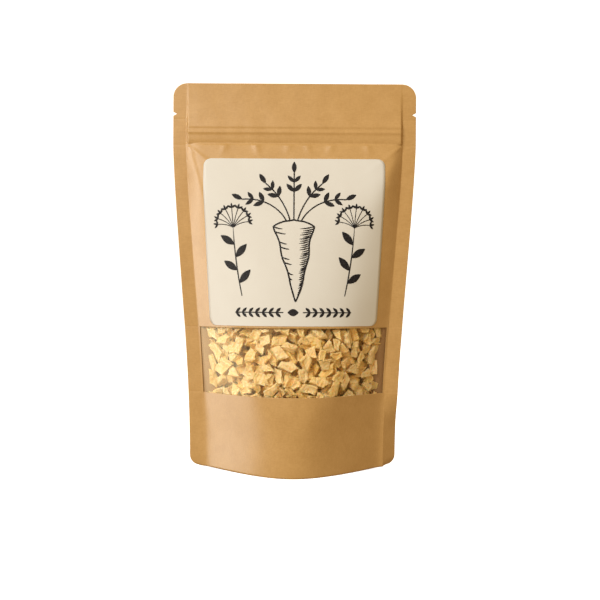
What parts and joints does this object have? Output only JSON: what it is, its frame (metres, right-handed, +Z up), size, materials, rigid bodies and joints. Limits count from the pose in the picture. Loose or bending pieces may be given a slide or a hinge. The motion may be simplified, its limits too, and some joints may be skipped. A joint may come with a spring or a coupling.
{
  "type": "stand-up pouch of diced parsnip root",
  "caption": "Standing kraft paper pouch with a clear window band, a press-to-close zip and a plain label, filled with dried, diced parsnip root.",
  "frame": {"origin": "middle of the footprint, on the surface that the pouch stands on", "axes": "+Z up, -Y out of the front with the label and window, X from one side seal to the other"},
  "size_m": [0.13, 0.0544, 0.208],
  "materials": {
    "kraft": "satin kraft paper laminate",
    "clear_film": "clear film",
    "label_paper": "uncoated cream paper",
    "zip_polythene": "milky polythene",
    "parsnip": "dry, matt, fibrous"
  },
  "bodies": {
    "root": {"front_panel": "kraft", "back_panel": "kraft", "bottom_gusset": "kraft", "window_film": "clear_film", "label": "label_paper", "zip_rib_strip": "zip_polythene", "zip_groove_strip": "zip_polythene", "parsnip_dice": "parsnip"}
  },
  "joints": []
}
